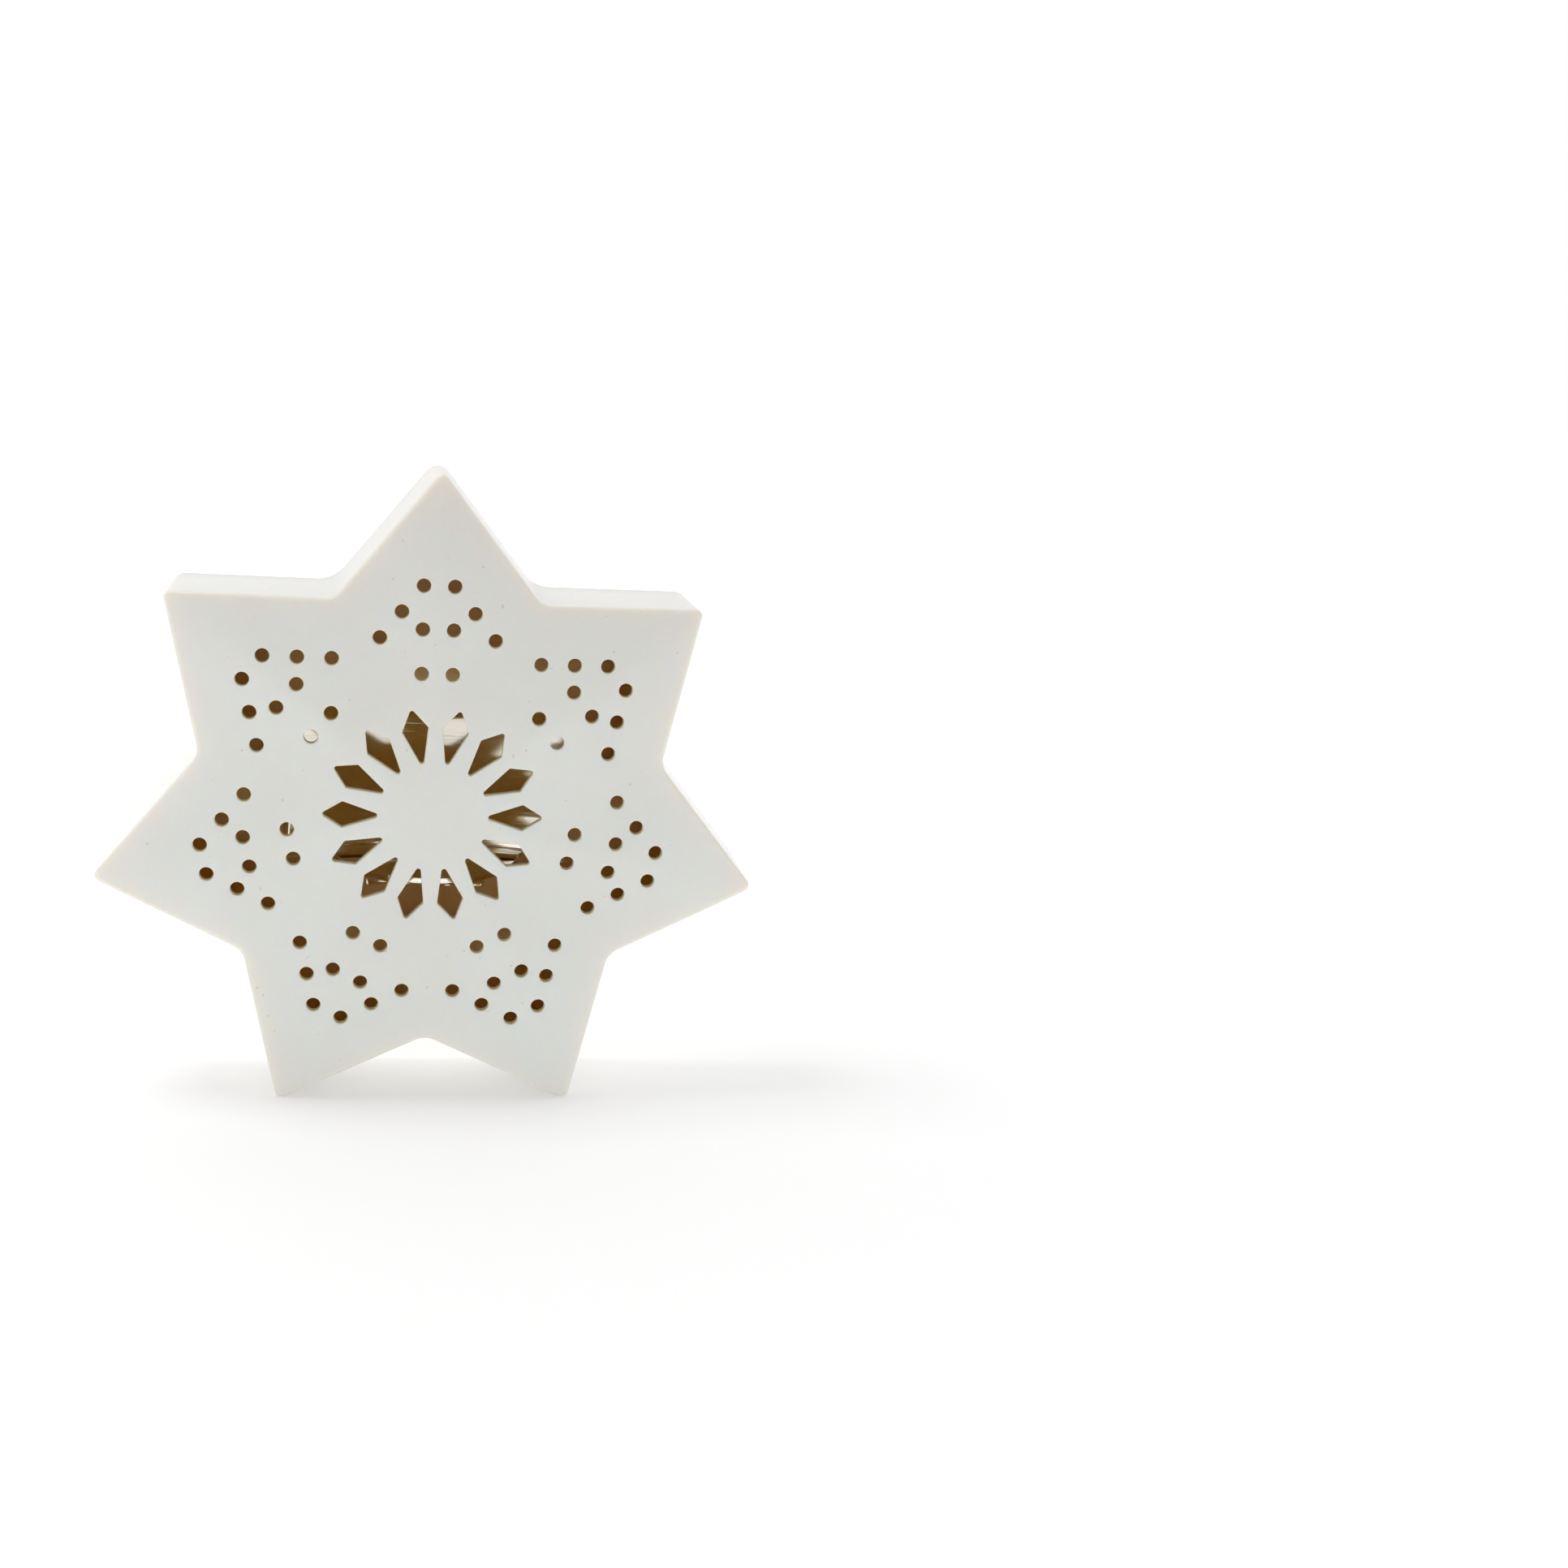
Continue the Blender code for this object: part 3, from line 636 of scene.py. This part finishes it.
def satin_sheet():
    """The plate's finish: rolled sheet left satin, and tinted gold."""
    material, tree, shader, add = new_material("satin_sheet")
    where = add("ShaderNodeTexCoord").outputs["Object"]
    tint = add("ShaderNodeTexNoise", {"Vector": where, "Scale": 18.0, "Detail": 3.0})
    colour = add("ShaderNodeValToRGB", {"Fac": tint.outputs["Fac"]})
    ramp(colour, [(0.3, (0.74, 0.54, 0.27)), (0.7, (0.80, 0.61, 0.34))])
    tree.links.new(colour.outputs["Color"], shader.inputs["Base Color"])
    smudge = add("ShaderNodeTexNoise", {"Vector": where, "Scale": 55.0, "Detail": 5.0})
    haze = add(
        "ShaderNodeMapRange", {"Value": smudge.outputs["Fac"], "To Min": 0.34, "To Max": 0.46}
    )
    tree.links.new(haze.outputs["Result"], shader.inputs["Roughness"])
    rolled = add("ShaderNodeMapping", {"Vector": where, "Scale": (4200.0, 60.0, 60.0)})
    lines = add("ShaderNodeTexNoise", {"Vector": rolled.outputs[0], "Scale": 1.0, "Detail": 2.0})
    grain = add(
        "ShaderNodeBump", {"Height": lines.outputs["Fac"], "Strength": 0.12, "Distance": 0.02 * MM}
    )
    tree.links.new(grain.outputs["Normal"], shader.inputs["Normal"])
    shader.inputs["Metallic"].default_value = 1.0
    return material


SHEET_FINISH = polished_sheet()


def sheet_piece(name, bm, thickness, edge=EDGE_BREAK):
    """A piece of sheet from its middle surface, with its cut edges broken."""
    piece = object_from(name, bm, sharp=60)
    solid = piece.modifiers.new("sheet", "SOLIDIFY")
    solid.thickness = thickness
    solid.offset = 0
    solid.use_even_offset = True
    broken = piece.modifiers.new("broken_edges", "BEVEL")
    broken.width = edge
    broken.segments = 2
    broken.limit_method = "ANGLE"
    broken.angle_limit = math.radians(60)
    settle(piece, sharp=40)
    piece.data.materials.append(SHEET_FINISH)
    return piece


def drill(x, y, low, high, radius, sides=32):
    """A round cutter along the star's z axis."""
    bm = bmesh.new()
    middle = Matrix.Translation((x, y, (low + high) / 2))
    bmesh.ops.create_cone(
        bm,
        cap_ends=True,
        segments=sides,
        radius1=radius,
        radius2=radius,
        depth=high - low,
        matrix=middle,
    )
    return object_from("drill", bm)


def reflector_front(y):
    """How far the middle of the leaning reflector stands ahead of the rim, at height y."""
    top = PLATE_FRONT + GAP + SHEET / 2
    return top + (REFLECTOR_TOP - y) * math.tan(REFLECTOR_LEAN)


def rivets():
    """Name, x, y and what lies between a rivet's head and its tail, ahead of the plate."""
    low = TRAY_FLOOR - RIVET_DROP
    panel = reflector_front(TOP_RIVET_HEIGHT - 2 * RIVET_HEAD) + SHEET - PLATE_FRONT
    return [
        ("tray_rivet_left", -RIVET_SPACING / 2, low, GAP + SHEET),
        ("tray_rivet_right", RIVET_SPACING / 2, low, GAP + SHEET),
        ("reflector_rivet", 0, TOP_RIVET_HEIGHT, panel),
    ]


# the plate
plate_bm = bmesh.new()
plate_rounds = BACK_TIP_ROUND + SIDE_WALL / 4, BACK_NOTCH_ROUND + SIDE_WALL
plate_line = star_outline(FLARE - REBATE_WALL - GAP, *plate_rounds, 8, 1)
plate_bm.faces.new([plate_bm.verts.new((p.x, p.y, PLATE_BACK)) for p in plate_line])
risen = bmesh.ops.extrude_face_region(plate_bm, geom=plate_bm.faces[:])["geom"]
risen = [part for part in risen if isinstance(part, bmesh.types.BMVert)]
bmesh.ops.translate(plate_bm, vec=(0, 0, PLATE_SHEET), verts=risen)
plate = object_from("closing_plate", plate_bm)
drills = [drill(0, FINGER_HOLE_HEIGHT, 0, PLATE_FRONT + MM, FINGER_HOLE_RADIUS, 72)]
drills += [drill(x, y, 0, PLATE_FRONT + MM, RIVET_SHANK + GAP) for _, x, y, _ in rivets()]
cut(plate, *drills)
broken = plate.modifiers.new("broken_edges", "BEVEL")
broken.width = EDGE_BREAK * 1.5
broken.segments = 3
broken.limit_method = "ANGLE"
broken.angle_limit = math.radians(60)
settle(plate, sharp=40)
plate.data.materials.clear()
plate.data.materials.append(satin_sheet())
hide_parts("back_plate")
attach(plate, "insert")

# the reflector
steps = 72
rows_up = 10
foot = TRAY_FLOOR + SHEET / 2 + GAP
swing = math.asin(REFLECTOR_HALF_WIDTH / REFLECTOR_RADIUS)
rolled = bmesh.new()
rows = []
for j in range(rows_up + 1):
    y = foot + (REFLECTOR_TOP - foot) * j / rows_up
    row = []
    for i in range(steps + 1):
        turn = -swing + 2 * swing * i / steps
        ahead = reflector_front(y) + REFLECTOR_RADIUS * (1 - math.cos(turn))
        row.append(rolled.verts.new((REFLECTOR_RADIUS * math.sin(turn), y, ahead)))
    rows.append(row)
for row, above in zip(rows, rows[1:]):
    for i in range(steps):
        rolled.faces.new((row[i], row[i + 1], above[i + 1], above[i]))
reflector = sheet_piece("rolled_reflector", rolled, SHEET)
cut(reflector, drill(0, TOP_RIVET_HEIGHT, 0, 8 * MM, RIVET_SHANK + GAP))
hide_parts("reflector")
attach(reflector, "insert")

# the tray: floor, lip and back flange in one sheet, with rounded folds
length = TRAY_FRONT - TRAY_WIDEST
first = math.asin((LIP_START - TRAY_WIDEST) / length)
unit = arc(Vector((0, 0)), 1, first, math.pi - first, 72)


def tray_ring(inset, y):
    """The floor's half-elliptic edge, moved in by inset, at height y."""
    return [
        Vector((p.x * (TRAY_HALF_WIDTH - inset), y, TRAY_WIDEST + p.y * (length - inset)))
        for p in unit
    ]


folded = bmesh.new()
levels = []
for i in range(FOLD_STEPS + 1):
    turn = math.pi / 2 * (1 - i / FOLD_STEPS)
    inset, rise = FOLD_ROUND * (1 - math.cos(turn)), FOLD_ROUND * (1 - math.sin(turn))
    levels.append(tray_ring(inset, TRAY_FLOOR + rise))
levels.append(tray_ring(0, TRAY_FLOOR + TRAY_LIP / 2))
levels.append(tray_ring(0, TRAY_FLOOR + TRAY_LIP))
rows = [[folded.verts.new(point) for point in ring] for ring in levels]
for row, above in zip(rows, rows[1:]):
    for i in range(len(row) - 1):
        folded.faces.new((row[i], row[i + 1], above[i + 1], above[i]))
back = PLATE_FRONT + GAP + SHEET / 2
corner_x = rows[0][-1].co.x, rows[0][0].co.x
corners = [folded.verts.new((x, TRAY_FLOOR, back)) for x in corner_x]
half_flange = FLANGE_HALF_WIDTH
bends = []
for i in range(FOLD_STEPS + 1):
    turn = math.pi / 2 * i / FOLD_STEPS
    ahead = back + FOLD_ROUND * (1 - math.sin(turn))
    down = TRAY_FLOOR - FOLD_ROUND * (1 - math.cos(turn))
    bends.append([folded.verts.new((x, down, ahead)) for x in (-half_flange, half_flange)])
bends.append(
    [folded.verts.new((x, TRAY_FLOOR - FLANGE_HEIGHT, back)) for x in (-half_flange, half_flange)]
)
reliefs = [folded.verts.new((x, TRAY_FLOOR, back)) for x in (-half_flange, half_flange)]
floor = [*rows[0], corners[0], reliefs[0], *bends[0], reliefs[1], corners[1]]
folded.faces.new(floor)
for bend, lower in zip(bends, bends[1:]):
    folded.faces.new((bend[0], bend[1], lower[1], lower[0]))
tray = sheet_piece("folded_tray", folded, SHEET)
tray_rivets = rivets()[:2]
cut(tray, *[drill(x, y, back - MM, back + MM, RIVET_SHANK + GAP) for _, x, y, _ in tray_rivets])
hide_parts("tealight_tray")
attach(tray, "insert")

# ---------------------------------------------------------------------------------------------
# The rivets. Soft brass, with a pressed mushroom head behind the plate and a tail hammered
# flat on the inside, so the tail shows faint peening.
# ---------------------------------------------------------------------------------------------


def plain_brass():
    material, tree, shader, add = new_material("plain_brass")
    where = add("ShaderNodeTexCoord").outputs["Object"]
    tarnish = add("ShaderNodeTexNoise", {"Vector": where, "Scale": 260.0, "Detail": 4.0})
    colour = add("ShaderNodeValToRGB", {"Fac": tarnish.outputs["Fac"]})
    ramp(colour, [(0.35, (0.62, 0.43, 0.17)), (0.6, (0.82, 0.62, 0.30))])
    tree.links.new(colour.outputs["Color"], shader.inputs["Base Color"])
    worn = add(
        "ShaderNodeMapRange", {"Value": tarnish.outputs["Fac"], "To Min": 0.36, "To Max": 0.14}
    )
    tree.links.new(worn.outputs["Result"], shader.inputs["Roughness"])
    peening = add("ShaderNodeTexVoronoi", {"Vector": where, "Scale": 1400.0})
    dents = add(
        "ShaderNodeBump",
        {"Height": peening.outputs["Distance"], "Strength": 0.3, "Distance": 0.05 * MM},
    )
    tree.links.new(dents.outputs["Normal"], shader.inputs["Normal"])
    shader.inputs["Metallic"].default_value = 1.0
    return material


BRASS_FINISH = plain_brass()
TAIL_ROUND = 0.2 * MM
HEAD_STEPS = 8
RIVET_FACETS = 40


def turned_rivet(name, x, y, held):
    """A rivet at (x, y), as long as what it holds needs."""
    tail = PLATE_FRONT + held + GAP
    head = PLATE_BACK - GAP / 2
    rise = RIVET_HEAD_RISE
    tail_radius = RIVET_HEAD * 0.8
    corner = Vector((tail_radius - TAIL_ROUND, tail + rise - TAIL_ROUND))
    outline = [(0.0, tail + rise)]
    outline += [tuple(point) for point in arc(corner, TAIL_ROUND, math.pi / 2, 0, 2)]
    outline += [(tail_radius, tail), (RIVET_SHANK, tail), (RIVET_SHANK, head), (RIVET_HEAD, head)]
    for i in range(1, HEAD_STEPS + 1):
        turn = math.pi / 2 * i / HEAD_STEPS
        outline.append((RIVET_HEAD * math.cos(turn), head - rise * math.sin(turn)))
    bm = bmesh.new()
    verts = [bm.verts.new((r, 0, z)) for r, z in outline]
    line = [bm.edges.new(pair) for pair in zip(verts, verts[1:])]
    bmesh.ops.spin(
        bm,
        geom=verts + line,
        cent=(0, 0, 0),
        axis=(0, 0, 1),
        angle=2 * math.pi,
        steps=RIVET_FACETS,
        use_merge=True,
    )
    bmesh.ops.remove_doubles(bm, verts=bm.verts, dist=WELD)
    bmesh.ops.translate(bm, vec=(x, y, 0), verts=bm.verts)
    rivet = object_from(name + "_turned", bm, sharp=40)
    rivet.data.materials.append(BRASS_FINISH)
    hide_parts(name)
    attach(rivet, "insert")


for rivet_name, rivet_x, rivet_y, rivet_held in rivets():
    turned_rivet(rivet_name, rivet_x, rivet_y, rivet_held)

# ---------------------------------------------------------------------------------------------
# The two springs. Each is a hairpin of drawn steel wire whose round end bears on the inside of
# the shell and holds the insert in; a brass strap, folded over its legs, clamps it to the plate.
# ---------------------------------------------------------------------------------------------

WIRE_RADIUS = 0.6 * MM
WIRE_GAP = 6.5 * MM
WIRE_START, WIRE_END = 50.5 * MM, 71.8 * MM
WIRE_RISE = 9 * MM
CLAMP_START, CLAMP_LENGTH = 51.5 * MM, 6 * MM
CLAMP_FOOT = 3 * MM
CLAMP_SHEET = 0.4 * MM
CLAMP_BEND = 0.4 * MM
CLAMP_EDGE_BREAK = 0.08 * MM
SPRING_NOTCHES = {"left": 1.5, "right": 5.5}  # in points round from the top one


def drawn_wire():
    material, tree, shader, add = new_material("drawn_wire")
    where = add("ShaderNodeTexCoord").outputs["Object"]
    stain = add("ShaderNodeTexNoise", {"Vector": where, "Scale": 180.0, "Detail": 3.0})
    colour = add("ShaderNodeValToRGB", {"Fac": stain.outputs["Fac"]})
    ramp(colour, [(0.3, (0.50, 0.43, 0.33)), (0.7, (0.68, 0.63, 0.54))])
    tree.links.new(colour.outputs["Color"], shader.inputs["Base Color"])
    dull = add("ShaderNodeMapRange", {"Value": stain.outputs["Fac"], "To Min": 0.18, "To Max": 0.4})
    tree.links.new(dull.outputs["Result"], shader.inputs["Roughness"])
    lines = add("ShaderNodeTexNoise", {"Vector": where, "Scale": 3000.0, "Detail": 1.0})
    drawn = add(
        "ShaderNodeBump", {"Height": lines.outputs["Fac"], "Strength": 0.15, "Distance": 0.02 * MM}
    )
    tree.links.new(drawn.outputs["Normal"], shader.inputs["Normal"])
    shader.inputs["Metallic"].default_value = 1.0
    return material


WIRE_FINISH = drawn_wire()


def spring(side, notch):
    """A hairpin and its strap, along the way from the star's middle to one of its notches."""
    axes = Matrix.Translation((0, 0, PLATE_FRONT)) @ Matrix.Rotation(
        FIRST_POINT + notch * PITCH, 4, "Z"
    )
    half = WIRE_GAP / 2
    lift = CLAMP_SHEET / 2 + WIRE_RADIUS + GAP
    clamp_end = CLAMP_START + CLAMP_LENGTH
    rise_from = clamp_end + MM
    turn_at = WIRE_END - half - WIRE_RADIUS

    def height(u):
        share = max(0.0, (u - rise_from) / (WIRE_END - rise_from))
        return lift + WIRE_RISE * share

    leg = [Vector((WIRE_START + (turn_at - WIRE_START) * i / 12, half)) for i in range(12)]
    bow = arc(Vector((turn_at, 0)), half, math.pi / 2, -math.pi / 2, 20)
    other = [Vector((point.x, -half)) for point in reversed(leg)]
    route = leg + bow + other

    curve = bpy.data.curves.new("route", "CURVE")
    curve.dimensions = "3D"
    curve.bevel_depth = WIRE_RADIUS
    curve.bevel_resolution = 5
    curve.use_fill_caps = True
    spline = curve.splines.new("POLY")
    spline.points.add(len(route) - 1)
    for point, at in zip(spline.points, route):
        point.co = (at.x, at.y, height(at.x), 1)
    guide = bpy.data.objects.new("route", curve)
    bpy.context.scene.collection.objects.link(guide)
    bpy.context.view_layer.update()
    mesh = bpy.data.meshes.new_from_object(guide)
    bpy.data.objects.remove(guide)
    bm = bmesh.new()
    bm.from_mesh(mesh)
    bmesh.ops.remove_doubles(bm, verts=bm.verts, dist=WELD)
    bm.transform(axes)
    wire = object_from("hairpin_" + side, bm, sharp=50)
    wire.data.materials.clear()
    wire.data.materials.append(WIRE_FINISH)
    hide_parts("spring_wire_" + side)
    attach(wire, "insert")

    crown = lift + WIRE_RADIUS + GAP + CLAMP_SHEET / 2
    reach = half + WIRE_RADIUS + GAP + CLAMP_SHEET / 2
    foot_height = GAP + CLAMP_SHEET / 2
    half_strap = [
        (-reach - CLAMP_FOOT, foot_height),
        (-reach, foot_height),
        (-reach, crown),
    ]
    corners = [Vector(at) for at in half_strap]
    corners += [Vector((-across, up)) for across, up in reversed(half_strap)]
    across = [corners[0]]
    for before, at, after in zip(corners, corners[1:], corners[2:]):
        across += rounded_corner(before, at, after, CLAMP_BEND, 4)
    across.append(corners[-1])
    strap_bm = bmesh.new()
    near = [strap_bm.verts.new((CLAMP_START, p.x, p.y)) for p in across]
    far = [strap_bm.verts.new((clamp_end, p.x, p.y)) for p in across]
    for i in range(len(across) - 1):
        strap_bm.faces.new((near[i], near[i + 1], far[i + 1], far[i]))
    strap_bm.transform(axes)
    strap = sheet_piece("strap_" + side, strap_bm, CLAMP_SHEET, CLAMP_EDGE_BREAK)
    strap.data.materials.clear()
    strap.data.materials.append(BRASS_FINISH)
    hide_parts("wire_clamp_" + side)
    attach(strap, "insert")


for side, notch in SPRING_NOTCHES.items():
    spring(side, notch)

# ---------------------------------------------------------------------------------------------
# The studio: a white table that glows with painted light, more away from the star, under a white sky
# that darkens ahead of the star and above it, one soft lamp high on the left, and the camera.
# ---------------------------------------------------------------------------------------------

CAMERA_PLACE = Vector((-30.92, 170.3, 811.1)) * MM  # in the star's axes
CAMERA_PITCH, CAMERA_YAW, CAMERA_ROLL = (math.radians(a) for a in (11.46, 10.81, -3.53))
LENS, SENSOR = 54.99, 36
LAMP_PLACE = Vector((-0.4, 0.02, 1.1))
LAMP_SIZE = 0.4
LAMP_ENERGY = 3.0
TABLE_SIZE = 12
TABLE_DROP = 0.2 * MM  # a hair of clearance under the feet

bpy.ops.mesh.primitive_plane_add(size=TABLE_SIZE, location=(0, 0, -TABLE_DROP))
table = bpy.context.object
table.name = "table"
table_white, tree, shader, add = new_material("table_white")
shader.inputs["Base Color"].default_value = (0.9, 0.9, 0.9, 1)
shader.inputs["Roughness"].default_value = 0.6
shader.inputs["Specular IOR Level"].default_value = 0.15
# painted light: the table glows, weakly near the star and more strongly further out, lightening the
# open floor and the star's shadow
shader.inputs["Emission Color"].default_value = (1, 1, 1, 1)
spot = add("ShaderNodeTexCoord").outputs["Object"]
away = add("ShaderNodeVectorMath", {0: spot}, operation="LENGTH")
table_glow_painted_light = add(
    "ShaderNodeMapRange",
    {
        "Value": away.outputs["Value"],
        "From Min": 0.2,
        "From Max": 0.7,
        "To Min": 0.21,
        "To Max": 0.58,
    },
)
tree.links.new(table_glow_painted_light.outputs["Result"], shader.inputs["Emission Strength"])
table.data.materials.append(table_white)

sky = bpy.data.worlds.new("studio")
bpy.context.scene.world = sky
sky.use_nodes = True
air = sky.node_tree
add = node_adder(air)
way = add("ShaderNodeTexCoord").outputs["Generated"]
apart = add("ShaderNodeSeparateXYZ", {"Vector": way})
ahead = add(
    "ShaderNodeMapRange",
    {
        "Value": apart.outputs["Y"],
        "From Min": -0.9,
        "From Max": 0.65,
        "To Min": 1.0,
        "To Max": 0.0,
    },
    interpolation_type="SMOOTHSTEP",
)
above = add(
    "ShaderNodeMapRange",
    {
        "Value": apart.outputs["Z"],
        "From Min": 0.0,
        "From Max": 0.55,
        "To Min": 0.12,
        "To Max": 0.72,
    },
    interpolation_type="SMOOTHSTEP",
)
dimmed = add(
    "ShaderNodeMath", {0: ahead.outputs["Result"], 1: above.outputs["Result"]}, operation="MULTIPLY"
)
lit = add("ShaderNodeMath", {0: 1.0, 1: dimmed.outputs["Value"]}, operation="SUBTRACT")
background = air.nodes["Background"]
air.links.new(lit.outputs["Value"], background.inputs["Strength"])
background.inputs["Color"].default_value = (1, 1, 1, 1)

lamp = bpy.data.lights.new("high_left", "AREA")
lamp.size = LAMP_SIZE
lamp.energy = LAMP_ENERGY
softbox = bpy.data.objects.new("high_left", lamp)
bpy.context.scene.collection.objects.link(softbox)
softbox.location = LAMP_PLACE
aim = Vector((0, 0, STAND_HEIGHT)) - LAMP_PLACE
softbox.rotation_euler = aim.to_track_quat("-Z", "Y").to_euler()

camera = bpy.data.cameras.new("camera")
camera.lens = LENS
camera.sensor_width = SENSOR
camera.clip_start = 0.01
viewer = bpy.data.objects.new("camera", camera)
bpy.context.scene.collection.objects.link(viewer)
look = (
    Matrix.Rotation(CAMERA_ROLL, 3, "Z")
    @ Matrix.Rotation(CAMERA_PITCH, 3, "X")
    @ Matrix.Rotation(CAMERA_YAW, 3, "Y")
)
viewer.matrix_world = STAND @ Matrix.Translation(CAMERA_PLACE) @ look.transposed().to_4x4()
bpy.context.scene.camera = viewer
bpy.context.scene.view_settings.view_transform = "Standard"
